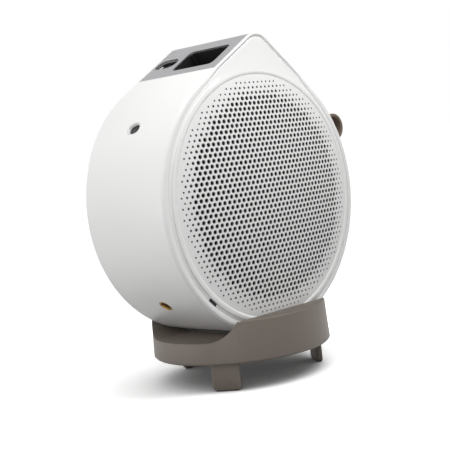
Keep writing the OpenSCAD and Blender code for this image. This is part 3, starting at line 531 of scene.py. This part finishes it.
def makeSensor(look):
    base = onDrum(-drum["lensLean"], *look["at"], look["top"])
    half, steps = look["cup"][2] / 2, look["cornerSteps"]
    spot = base @ Matrix.Translation((0, 0, -half * mm))
    cup = roundedBlock("sensorCup", look["cup"], look["cupCorner"], spot, steps)
    spot = base @ Matrix.Translation((0, 0, (half - look["floor"]) * mm))
    cutAway(cup, [roundedBlock("hollow", look["hollow"], look["hollowCorner"], spot, steps)])
    finishPiece(cup, "wellBlack", "drum")
    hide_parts("sensor_window")
    around, over = look["domeSteps"]
    for i, (off, r) in enumerate(look["lenses"]):
        bpy.ops.object.select_all(action="DESELECT")
        bpy.ops.mesh.primitive_uv_sphere_add(segments=around, ring_count=over, radius=r * mm)
        dome = bpy.context.object
        dome.name = "sensorDome" + str(i + 1)
        bpy.ops.object.mode_set(mode="EDIT")
        bpy.ops.mesh.select_all(action="SELECT")
        bpy.ops.mesh.bisect(plane_co=(0, 0, 0), plane_no=(0, 0, 1), clear_inner=True, use_fill=True)
        bpy.ops.object.mode_set(mode="OBJECT")
        spot = base @ Matrix.Translation((off * mm, 0, -look["floor"] * mm))
        settle(dome, spot @ Matrix.Diagonal((1, 1, look["domeFlat"], 1)))
        finishPiece(dome, "sensorGlass", "drum")


makeSensor(sensorLook)
print("lens panel and sensors made")


# Turned piece from a half profile of radius and height
def turned(name, profile, place, steps=48):
    links = [(i, i + 1) for i in range(len(profile) - 1)]
    piece = newPiece(name, [(r * mm, 0, z * mm) for r, z in profile], links, [])
    bpy.ops.object.mode_set(mode="EDIT")
    bpy.ops.mesh.select_all(action="SELECT")
    bpy.ops.mesh.spin(steps=steps, angle=math.tau, center=(0, 0, 0), axis=(0, 0, 1))
    bpy.ops.mesh.select_all(action="SELECT")
    bpy.ops.mesh.remove_doubles(threshold=mergeGap)
    bpy.ops.mesh.normals_make_consistent(inside=False)
    bpy.ops.object.mode_set(mode="OBJECT")
    settle(piece, place)
    return piece


# Remote receiver: an oval white ring set in the shell and a dark window at its foot
receiverLook = {
    "at": -54, "oval": 0.74,
    "ring": ((5.65, -6.5), (5.65, -0.35), (5.5, -0.15), (5.3, -0.08),
             (5.05, -0.2), (4.92, -0.5), (4.8, -6.5), (5.65, -6.5)),
    "window": ((0, -1.5), (3.2, -1.55), (4.5, -1.7), (4.78, -1.9), (4.78, -4.5), (0, -4.5)),
}


def makeReceiver(look):
    place = onDrum(look["at"], 0, 0, drum["r"]) @ Matrix.Diagonal((1, look["oval"], 1, 1))
    ringPiece = turned("receiverRing", look["ring"], place)
    finishPiece(ringPiece, "whiteAbs", "drum", angle=40)
    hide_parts("receiver_bezel")
    window = turned("receiverLens", look["window"], place)
    finishPiece(window, "sensorGlass", "drum", angle=40)
    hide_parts("receiver_window")


# Tripod insert: thin brass rim, countersink and twenty threads to the inch
insertLook = {
    "at": -134.3, "outer": 4.65, "mouth": 3.6, "bore": 3.175, "depth": 9.0, "floor": 1,
    "chamfer": 0.12, "edgeDepth": 0.3, "rimDepth": 0.15, "sinkFoot": 0.15, "sinkDepth": 1.3,
    "threadStart": 1.45, "threadDepth": 0.55, "pitch": 1.27, "shadeFrom": 1.0,
}


def makeInsert(look):
    outer, bore, depth = look["outer"], look["bore"], look["depth"]
    profile = [(outer, -depth), (outer, -look["edgeDepth"]), (outer - look["chamfer"], -look["rimDepth"]),
               (look["mouth"], -look["rimDepth"]), (bore + look["sinkFoot"], -look["sinkDepth"])]
    z = -look["threadStart"]
    while z - look["pitch"] > -depth + look["floor"]:
        profile += [(bore, z), (bore + look["threadDepth"], z - look["pitch"] / 2)]
        z -= look["pitch"]
    profile += [(bore, z), (0, z), (0, -depth), (outer, -depth)]
    place = onDrum(look["at"], 0, 0, drum["r"])
    insert = turned("threadedInsert", profile, place)
    # painted shade: the bore is darkened below its mouth
    deep = insert.data.attributes.new("deep", "FLOAT", "POINT")
    heights = [(place.inverted() @ v.co).z for v in insert.data.vertices]
    deep.data.foreach_set("value", [float(h < -look["shadeFrom"] * mm) for h in heights])
    finishPiece(insert, "brass", "drum", angle=35)
    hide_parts("tripod_insert")


makeReceiver(receiverLook)
makeInsert(insertLook)
print("receiver and insert made")

# Side covers: a thin edge at the flats, a shallow dome and a soft groove round the grille
coverLook = {
    "skirt": 32.5, "wall": 2.6, "back": 35.0, "dropPerMm": 0.05, "dropMost": 0.5,
    # inset from the seam, then distance along the axis
    "edge": ((0, 36.7), (0.08, 36.95), (0.25, 37.08), (0.7, 37.16), (2.0, 37.35)),
    # radius, then distance along the axis
    "groove": ((79.4, 38.1), (78.4, 38.4), (77.7, 38.52), (77.2, 38.53), (76.8, 38.46),
               (76.5, 38.36), (76.25, 38.27), (76.14, 38.2), (76.14, 36.2)),
    "notch": (4.4, 6.8, 2.1), "notchX": 37.1, "notchAt": -135.7, "notchR": 80.6,
    # block that paints the notch's shade: size, corner and sink
    "shadeBlock": (3.0, 6.7, 2.0), "shadeBlockCorner": 0.3, "shadeBlockSink": 1.45,
}


def makeCover(name, side, node, look):
    def seam(inset):
        return outline(drum["seamR"] - inset, drum["seamFlat"] - inset, drum["seamTip"] - inset)
    rise = [max(0, (p.length - drum["seamR"]) * look["dropPerMm"]) for p in seam(0)]
    drop = [min(look["dropMost"], v) for v in rise]
    profile = [(seam(0), look["skirt"])]
    profile += [(seam(inset), [x - d for d in drop]) for inset, x in look["edge"]]
    profile += [(ring(r), x) for r, x in look["groove"]]
    profile += [(seam(look["wall"]), look["back"]), (seam(look["wall"]), look["skirt"])]
    cover = skinRings(name, [atX(p, onSide(side, x)) for p, x in profile])
    a = math.radians(look["notchAt"])
    y, z = axisY + look["notchR"] * math.sin(a) * mm, axisZ + look["notchR"] * math.cos(a) * mm
    spot = Matrix.Translation((side * look["notchX"] * mm, y, z)) @ Matrix.Rotation(-a, 4, "X")
    cutAway(cover, [roundedBlock("notchCut", look["notch"], 0, spot)])
    finishPiece(cover, "whiteAbs", "drum")
    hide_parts(node)
    # black block sunk under the pry notch: painted shade standing in for the notch's dark inside
    sunk = spot @ Matrix.Translation((-side * look["shadeBlockSink"] * mm, 0, 0))
    shadeBlockName = name.replace("sideCover", "notchShadeBlock")
    shadeBlock = roundedBlock(shadeBlockName, look["shadeBlock"], look["shadeBlockCorner"], sunk)
    finishPiece(shadeBlock, "cloth", "drum")


makeCover("sideCoverRight", 1, "side_cover_right", coverLook)
makeCover("sideCoverLeft", -1, "side_cover_left", coverLook)
print("covers made")

# Grilles: shallow domes of punched sheet, the holes smaller in the outer rings
grilleLook = {
    "pitch": 3.725, "field": 73.5, "thick": 1.0, "edge": 0.1, "sides": 12, "rim": 160, "joinGap": 1e-6,
    # hole diameters, each beyond a distance from the centre
    "sizes": ((70.3, 1.2), (67.1, 1.5), (63.9, 1.95), (-1, 2.55)),
    "wallShade": (0.7, 1.0),
}


def holeSpots(look):
    step = look["pitch"] * math.sqrt(3) / 2
    rows, columns = int(look["field"] / step), int(look["field"] / look["pitch"]) + 1
    spots = []
    for j in range(-rows, rows + 1):
        for i in range(-columns, columns + 1):
            spot = Vector(((i + 0.5 * ((j + 1) % 2)) * look["pitch"], j * step))
            if spot.length < look["field"]:
                spots.append((spot, next(d for r, d in look["sizes"] if spot.length > r)))
    return spots


# Points round a circle of radius 1, the first one a share of a step along
def roundPoints(count, start=0):
    angles = [math.tau * (i + start) / count for i in range(count)]
    return [Vector((math.cos(a), math.sin(a))) for a in angles]


# The sheet is triangulated between its holes, then each hole gets a rounded lip and a wall
def makeGrille(name, side, node, look):
    n, rim, thick = look["sides"], look["rim"], look["thick"]
    flat = [p * drum["grilleR"] for p in roundPoints(rim)]
    turns = roundPoints(n, 0.5)
    spots = holeSpots(look)
    for spot, size in spots:
        flat += [spot + t * (size / 2 + look["edge"]) for t in turns]
    loops = [list(range(rim))] + [list(range(rim + k * n, rim + (k + 1) * n)) for k in range(len(spots))]
    edges = [(a, b) for loop in loops for a, b in zip(loop, loop[1:] + loop[:1])]
    web = delaunay_2d_cdt(flat, edges, [], 1, look["joinGap"])
    total = len(flat)
    # triangles whose corners all lie on one hole's edge fill that hole
    front = [tuple(face) for face in web[2] if len({(v - rim) // n if v >= rim else -1 for v in face}) > 1]

    def lay(points, depth):
        return atX(points, [side * (domeX(p.length) - depth) for p in points])
    throat = [spot + t * size / 2 for spot, size in spots for t in turns]
    verts = lay(flat, 0) + lay(throat, look["edge"]) + lay(throat, thick) + lay(flat[:rim], thick)
    faces = list(front)
    for k in range(len(spots)):
        a, b, c = rim + k * n, total + k * n, total + len(throat) + k * n
        for i in range(n):
            j = (i + 1) % n
            faces += [(a + i, a + j, b + j, b + i), (b + i, b + j, c + j, c + i)]
    skirt = total + 2 * len(throat)
    faces += [(i, (i + 1) % rim, skirt + (i + 1) % rim, skirt + i) for i in range(rim)]
    backOf = {i: skirt + i for i in range(rim)}
    backOf.update({rim + i: total + len(throat) + i for i in range(len(throat))})
    faces += [tuple(backOf[v] for v in reversed(face)) for face in front]
    grille = facedPiece(name, verts, faces)
    # painted shade on the hole walls: part weight on the lip, full weight down the wall and on the back
    wall = grille.data.attributes.new("holeWallShade", "FLOAT", "POINT")
    lip, deep = look["wallShade"]
    wall.data.foreach_set("value", [0.0] * total + [lip] * len(throat) + [deep] * (len(throat) + rim))
    finishPiece(grille, "powderSteel", "drum")
    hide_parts(node)
    print(name, len(spots), "holes")


makeGrille("punchedGrilleRight", 1, "grille_right", grilleLook)
makeGrille("punchedGrilleLeft", -1, "grille_left", grilleLook)

# Acoustic cloth stretched behind each grille
clothLook = {"r": 73.75, "x": 36.6, "sides": 96, "insets": (4, 16, 20, 18)}


def makeCloth(name, side, node, look):
    bpy.ops.object.select_all(action="DESELECT")
    bpy.ops.mesh.primitive_circle_add(vertices=look["sides"], radius=look["r"] * mm, fill_type="NOTHING",
                                      location=(side * look["x"] * mm, axisY, axisZ),
                                      rotation=(0, side * math.pi / 2, 0))
    cloth = bpy.context.object
    cloth.name = name
    bpy.ops.object.transform_apply(location=True, rotation=True, scale=True)
    bpy.ops.object.mode_set(mode="EDIT")
    bpy.ops.mesh.select_all(action="SELECT")
    bpy.ops.mesh.edge_face_add()
    for inset in look["insets"]:
        bpy.ops.mesh.inset(thickness=inset * mm)
    bpy.ops.object.mode_set(mode="OBJECT")
    finishPiece(cloth, "cloth", "drum")
    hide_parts(node)


makeCloth("acousticClothRight", 1, "cloth_right", clothLook)
makeCloth("acousticClothLeft", -1, "cloth_left", clothLook)
print("cloths made")

# Leather carry strap: a flat loop with skived edges
strapLook = {
    "at": 66.3, "width": 54, "thick": 2.2, "outer": 9.3, "mid": 94.5, "foot": 78.4,
    "bendSteps": 24, "edge": 0.6, "edgeSteps": 3, "edgeAngle": 50,
}


def makeStrap(look):
    bend, rise = look["outer"] - look["thick"] / 2, look["mid"] - look["foot"]
    top = look["mid"] * mm
    bpy.ops.object.select_all(action="DESELECT")
    bpy.ops.mesh.primitive_plane_add(size=1)
    strap = bpy.context.object
    strap.name = "leatherStrap"
    middle = Matrix.Translation((0, -bend * mm, (look["foot"] + rise / 2) * mm))
    upright = Matrix.Rotation(math.pi / 2, 4, "X")
    settle(strap, middle @ upright @ Matrix.Diagonal((look["width"] * mm, rise * mm, 1, 1)))
    # the upper edge is turned over into the bend, then drawn down again
    bpy.ops.object.mode_set(mode="EDIT")
    bpy.ops.mesh.select_mode(type="EDGE")
    bpy.ops.mesh.select_all(action="DESELECT")
    bpy.ops.object.mode_set(mode="OBJECT")
    for edge in strap.data.edges:
        edge.select = all(abs(strap.data.vertices[v].co.z - top) < mergeGap for v in edge.vertices)
    bpy.ops.object.mode_set(mode="EDIT")
    bpy.ops.mesh.spin(steps=look["bendSteps"], angle=math.pi, center=(0, 0, top), axis=(1, 0, 0))
    bpy.ops.mesh.extrude_region_move(TRANSFORM_OT_translate={"value": (0, 0, -rise * mm)})
    bpy.ops.mesh.select_all(action="SELECT")
    bpy.ops.mesh.remove_doubles(threshold=mergeGap)
    bpy.ops.mesh.normals_make_consistent(inside=False)
    bpy.ops.object.mode_set(mode="OBJECT")
    body = strap.modifiers.new("thickness", "SOLIDIFY")
    body.thickness, body.offset = look["thick"] * mm, 0
    bpy.ops.object.modifier_apply(modifier=body.name)
    softEdges(strap, look["edge"], look["edgeSteps"], look["edgeAngle"])
    settle(strap, onDrum(look["at"], 0, 0, 0))
    finishPiece(strap, "leather", "drum", angle=40)
    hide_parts("carry_strap")


makeStrap(strapLook)
print("strap made")

# Stand mouldings with softened edges: merged copies of the solids, bevelled where two faces meet sharply
standLook = {
    "pieces": (("standBody", "stand_body", 0.45), ("standLegs", "stand_legs", 0.35)),
    "flatAngle": 2, "edgeSteps": 2, "edgeAngle": 40,
}


def softenStand(look):
    for name, node, width in look["pieces"]:
        piece = bpy.data.objects.new(name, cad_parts[node].data.copy())
        bpy.context.scene.collection.objects.link(piece)
        pick(piece)
        bpy.ops.object.mode_set(mode="EDIT")
        bpy.ops.mesh.select_all(action="SELECT")
        bpy.ops.mesh.remove_doubles(threshold=mergeGap)
        bpy.ops.mesh.dissolve_limited(angle_limit=math.radians(look["flatAngle"]))
        bpy.ops.object.mode_set(mode="OBJECT")
        softEdges(piece, width, look["edgeSteps"], look["edgeAngle"])
        finishPiece(piece, "taupePc", "stand")
        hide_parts(node)


softenStand(standLook)
print("stand softened")


# 1 where the camera sees a surface itself or in a reflection, 0 where the surface only gives light
def seenDirectly(tree):
    rays = addNode(tree, "LightPath")
    seen = rays.outputs["Is Camera Ray"]
    for kind in ("Is Glossy Ray", "Is Transmission Ray"):
        seen = addNode(tree, "Math", {"operation": "MAXIMUM"}, {0: seen, 1: rays.outputs[kind]}).outputs[0]
    return seen


# Pale floor, white to the camera and in reflections, dimmer as a light source for the underside
stageLook = {
    "size": 60.0, "drop": 0.0002, "toCamera": 2.3, "asBounce": "#444444", "lift": 0.05,
    "contact": 0.1, "contactSamples": 16,
}


def makeFloor(look):
    bpy.ops.object.select_all(action="DESELECT")
    bpy.ops.mesh.primitive_plane_add(size=look["size"], location=(0, 0, -look["drop"]))
    floor = bpy.context.object
    floor.name = "paleFloor"
    mat = bpy.data.materials.new("paleFloor")
    mat.use_nodes = True
    tree = mat.node_tree
    tree.nodes.clear()
    seen = seenDirectly(tree)
    bounce = addNode(tree, "BsdfDiffuse", {"Color": srgb(look["asBounce"])})
    # soft contact shadow
    near = addNode(tree, "AmbientOcclusion", {"samples": look["contactSamples"],
                                              "Distance": look["contact"]})
    level = addNode(tree, "Math", {"operation": "MULTIPLY", 1: look["toCamera"]}, {0: near.outputs["AO"]})
    shown = addNode(tree, "BsdfDiffuse", {}, {"Color": level.outputs[0]})
    lift = addNode(tree, "Emission", {"Color": srgb("#FFFFFF"), "Strength": look["lift"]})
    bright = addNode(tree, "AddShader", {}, {0: shown.outputs[0], 1: lift.outputs[0]})
    both = addNode(tree, "MixShader", {}, {0: seen, 1: bounce.outputs[0], 2: bright.outputs[0]})
    addNode(tree, "OutputMaterial", {}, {"Surface": both.outputs[0]})
    floor.data.materials.append(mat)


# White sky, bright where it is seen and weak as a light
skyLook = {"seen": 1.0, "light": 0.2}


def makeSky(look):
    world = bpy.data.worlds.new("whiteStudio")
    bpy.context.scene.world = world
    world.use_nodes = True
    tree = world.node_tree
    tree.nodes.clear()
    strength = addNode(tree, "MapRange", {3: look["light"], 4: look["seen"]}, {0: seenDirectly(tree)})
    glow = addNode(tree, "Background", {"Color": srgb("#FFFFFF")}, {"Strength": strength.outputs[0]})
    addNode(tree, "OutputWorld", {}, {"Surface": glow.outputs[0]})


# Lamps: wide suns light object and floor evenly, near soft boxes shade the drum from top to bottom
lamps = {
    "leftSky": dict(kind="SUN", toward=(-0.72, -0.62, 0.17), spread=80, power=1.3),
    "rightSky": dict(kind="SUN", toward=(0.5, 0.75, 0.35), spread=60, power=0.45),
    "overheadSky": dict(kind="SUN", toward=(0.1, -0.1, 1.0), spread=90, power=0.4),
    "sideSoftbox": dict(kind="AREA", toward=(0.33, 0.05, 0.55), aim=(0.04, 0, 0.19), size=0.3, power=1.9),
    "frontSoftbox": dict(kind="AREA", toward=(0.27, -0.42, 0.22), aim=(0.02, -0.05, 0.16),
                         size=0.3, power=0.6),
    "lowSoftbox": dict(kind="AREA", toward=(-0.2, -0.6, 0.06), aim=(0, -0.06, 0.1), size=0.4, power=1.05),
}


def makeLamps(lamps):
    for name, look in lamps.items():
        data = bpy.data.lights.new(name, look["kind"])
        data.energy = look["power"]
        lamp = bpy.data.objects.new(name, data)
        bpy.context.scene.collection.objects.link(lamp)
        lamp.location = look["toward"]
        aim = Vector(look.get("aim", (0, 0, 0)))
        if look["kind"] == "SUN":
            data.angle = math.radians(look["spread"])
        else:
            data.size = look["size"]
        lamp.rotation_euler = (aim - lamp.location).to_track_quat("-Z", "Y").to_euler()


makeFloor(stageLook)
makeSky(skyLook)
makeLamps(lamps)
print("stage and lamps set")
